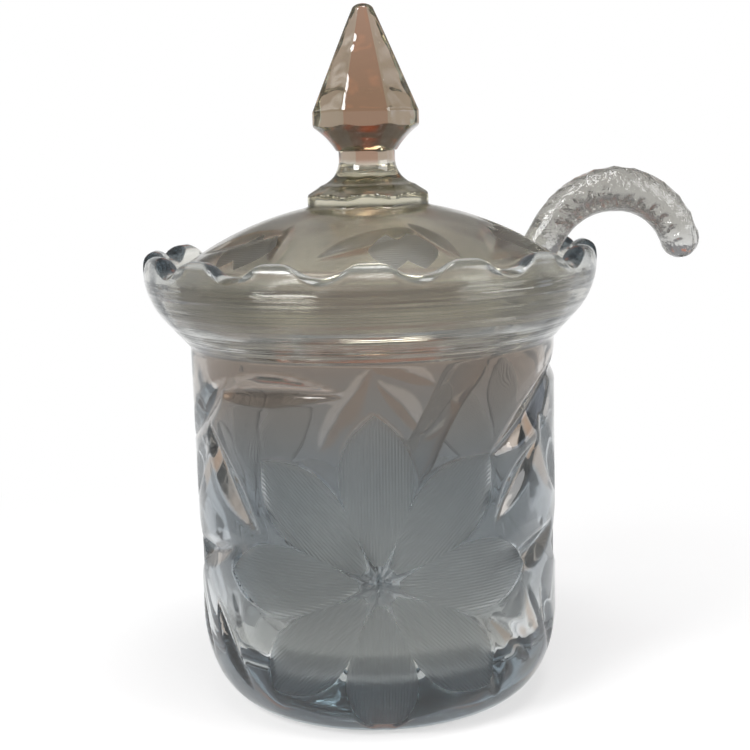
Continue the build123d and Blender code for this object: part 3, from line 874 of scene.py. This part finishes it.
class JarStage(bpy.types.PropertyGroup):
    """Camera, lamps and floor."""

    distance: bpy.props.FloatProperty(
        name="Distance", description="From the camera to the jar's axis", default=0.290, unit="LENGTH",
    )
    eye_height: bpy.props.FloatProperty(
        name="Eye height", description="Camera over the floor", default=0.119, unit="LENGTH",
    )
    lens: bpy.props.FloatProperty(
        name="Lens", description="Focal length on a 36 mm sensor", default=63.55, unit="CAMERA",
    )
    pitch: bpy.props.FloatProperty(
        name="Pitch", description="How far the camera looks down",
        default=math.radians(9.67), subtype="ANGLE",
    )
    roll: bpy.props.FloatProperty(
        name="Roll", description="How far the camera is turned clockwise",
        default=math.radians(1.7), subtype="ANGLE",
    )
    surround: bpy.props.FloatProperty(
        name="Surround", description="Brightness of the room over the backdrop", default=0.30, min=0.0,
    )


class MARMALADE_OT_jar(bpy.types.Operator):
    """Makes the crystal jar with its scalloped collar, flowers and leaf cuts"""

    bl_idname = "marmalade.jar"
    bl_label = "Jar"

    def execute(self, context):
        finish = context.scene.marmalade_finish
        piece = new_object("crystal_jar", closed_mesh("crystal_jar", *jar_rows()))
        shade(piece, 1.0, crystal("jar_crystal", finish.jar_tint, jar_faces))
        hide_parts("jar")
        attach(piece, "jar")
        return {"FINISHED"}


class MARMALADE_OT_lid(bpy.types.Operator):
    """Makes the domed lid with its faceted finial, and cuts the ladle's notch"""

    bl_idname = "marmalade.lid"
    bl_label = "Lid"

    def execute(self, context):
        finish = context.scene.marmalade_finish
        piece = new_object("crystal_lid", closed_mesh("crystal_lid", *lid_rows()))
        combine(piece, new_object("notch", closed_mesh("notch", notch_rows())), "DIFFERENCE")
        shade(piece, DOME_APEX * MM, crystal("lid_crystal", finish.lid_tint, lid_faces))
        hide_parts("lid")
        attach(piece, "lid")
        return {"FINISHED"}


class MARMALADE_OT_ladle(bpy.types.Operator):
    """Makes the one-piece ladle: rod, hooked and beaded handle, and cup"""

    bl_idname = "marmalade.ladle"
    bl_label = "Ladle"

    def execute(self, context):
        finish = context.scene.marmalade_finish
        rim = BOWL_BOTTOM + BOWL_HEIGHT
        piece = new_object("crystal_ladle", closed_mesh("crystal_ladle", rod_rows()))
        combine(piece, new_object("cup", closed_mesh("cup", bowl_rows(0, rim))), "UNION")
        hollow = new_object("hollow", closed_mesh("hollow", bowl_rows(BOWL_WALL, rim + 0.01)))
        combine(piece, hollow, "DIFFERENCE")
        shade(piece, 1.0, crystal("ladle_crystal", finish.ladle_tint, ladle_faces))
        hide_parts("ladle")
        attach(piece, "ladle")
        return {"FINISHED"}


def soft_lamp(name, place, size, power, aim=(0, 0, 0.07)):
    """A soft square lamp that faces the jar."""
    lamp = bpy.data.lights.new(name, "AREA")
    lamp.size = size
    lamp.energy = power
    holder = bpy.data.objects.new(name, lamp)
    bpy.context.scene.collection.objects.link(holder)
    direction = np.array(place) - np.array(aim)
    level = math.hypot(direction[0], direction[1])
    turn = math.atan2(direction[1], direction[0]) + math.pi / 2
    tilt = math.atan2(level, direction[2])
    holder.matrix_world = (
        Matrix.Translation(place) @ Matrix.Rotation(turn, 4, "Z") @ Matrix.Rotation(tilt, 4, "X")
    )


class MARMALADE_OT_stage(bpy.types.Operator):
    """Sets the pale floor, the soft lamps, the surround and the camera"""

    bl_idname = "marmalade.stage"
    bl_label = "Stage"

    def execute(self, context):
        stage = context.scene.marmalade_stage
        self.floor()
        self.surround(context, stage)
        soft_lamp("key", (-0.45, -0.40, 0.55), 0.30, 5.0)
        soft_lamp("fill", (0.60, -0.25, 0.35), 0.40, 2.5)
        soft_lamp("top", (0.05, -0.12, 0.75), 0.30, 3.0)
        camera = bpy.data.cameras.new("camera")
        camera.lens = stage.lens
        camera.sensor_width = 36.0
        camera.clip_start = 0.01
        holder = bpy.data.objects.new("camera", camera)
        context.scene.collection.objects.link(holder)
        holder.matrix_world = (
            Matrix.Translation((0.00037, -stage.distance, stage.eye_height))
            @ Matrix.Rotation(math.pi / 2 - stage.pitch, 4, "X")
            @ Matrix.Rotation(-stage.roll, 4, "Z")
        )
        context.scene.camera = holder
        context.scene.view_settings.view_transform = "Standard"
        context.scene.cycles.max_bounces = 24
        context.scene.cycles.glossy_bounces = 16
        context.scene.cycles.transmission_bounces = 24
        return {"FINISHED"}

    def floor(self):
        """A pale disc that keeps the shadow near the jar and fades to plain white beyond it."""
        turn = np.arange(96) / 96 * TAU
        ring = np.stack([FLOOR_REACH * np.cos(turn), FLOOR_REACH * np.sin(turn), 0 * turn - 0.00005], 1)
        mesh = bpy.data.meshes.new("floor")
        mesh.from_pydata(ring.tolist(), [], [list(range(96))])
        piece = new_object("floor", mesh)
        material = bpy.data.materials.new("pale_floor")
        material.use_nodes = True
        net = Net(material.node_tree)
        spot, (x, y, z) = net.place()
        reach = (x * x + y * y) ** 0.5
        seen = net.seen()
        plain = net.node("ShaderNodeEmission", {}, {"Color": (1, 1, 1, 1), "Strength": 1.0})
        matt = net.node("ShaderNodeBsdfDiffuse", {}, {"Color": (0.86, 0.86, 0.86, 1)})
        amount = seen * reach.ramp(*SHADOW_FADE).between(0.55, 1.0)
        surface = net.node("ShaderNodeMixShader", {}, {0: amount, 1: matt, 2: plain})
        net.node("ShaderNodeOutputMaterial", {}, {"Surface": surface})
        mesh.materials.append(material)

    def surround(self, context, stage):
        """A white band at eye level, a dimmer room over it, bright windows and a few warm panels."""
        world = bpy.data.worlds.new("surround")
        world.use_nodes = True
        context.scene.world = world
        net = Net(world.node_tree)
        way = net.node("ShaderNodeTexCoord", output="Generated")
        z = net.node("ShaderNodeSeparateXYZ", {}, {0: way}, 2)
        band = z.ramp(-0.30, -0.12) * (1 - z.ramp(0.14, 0.20))
        colour = net.mix(band, (stage.surround, stage.surround, stage.surround * 1.04, 1), (1, 1, 1, 1))
        for azimuth, rise, spread, shade_of in PANELS:
            level = math.cos(math.radians(rise))
            aim = (
                level * math.cos(math.radians(azimuth)), level * math.sin(math.radians(azimuth)),
                math.sin(math.radians(rise)),
            )
            near = net.node("ShaderNodeVectorMath", {"operation": "DOT_PRODUCT"}, {0: way, 1: aim}, "Value")
            edge = math.cos(math.radians(spread))
            colour = net.mix(near.ramp(edge, edge + 0.02), colour, shade_of + (1,))
        ground = net.node("ShaderNodeBackground", {}, {"Color": colour, "Strength": 1.0})
        net.node("ShaderNodeOutputWorld", {}, {"Surface": ground})


class MARMALADE_PT_panel(bpy.types.Panel):
    """Lists the makers of the jar's pieces and their settings"""

    bl_idname = "MARMALADE_PT_panel"
    bl_label = "Marmalade jar"
    bl_space_type = "VIEW_3D"
    bl_region_type = "UI"
    bl_category = "Marmalade jar"

    def draw(self, context):
        column = self.layout.column()
        for maker in MAKERS:
            column.operator(maker.bl_idname)
        for group in (context.scene.marmalade_finish, context.scene.marmalade_stage):
            for name in group.bl_rna.properties.keys():
                if name not in ("rna_type", "name"):
                    column.prop(group, name)


MAKERS = (MARMALADE_OT_jar, MARMALADE_OT_lid, MARMALADE_OT_ladle, MARMALADE_OT_stage)
CLASSES = (JarFinish, JarStage, *MAKERS, MARMALADE_PT_panel)


def register():
    for item in CLASSES:
        bpy.utils.register_class(item)
    bpy.types.Scene.marmalade_finish = bpy.props.PointerProperty(type=JarFinish)
    bpy.types.Scene.marmalade_stage = bpy.props.PointerProperty(type=JarStage)


def unregister():
    del bpy.types.Scene.marmalade_stage
    del bpy.types.Scene.marmalade_finish
    for item in reversed(CLASSES):
        bpy.utils.unregister_class(item)


def main():
    register()
    bpy.ops.marmalade.jar()
    bpy.ops.marmalade.lid()
    bpy.ops.marmalade.ladle()
    bpy.ops.marmalade.stage()


if __name__ == "__main__":
    main()
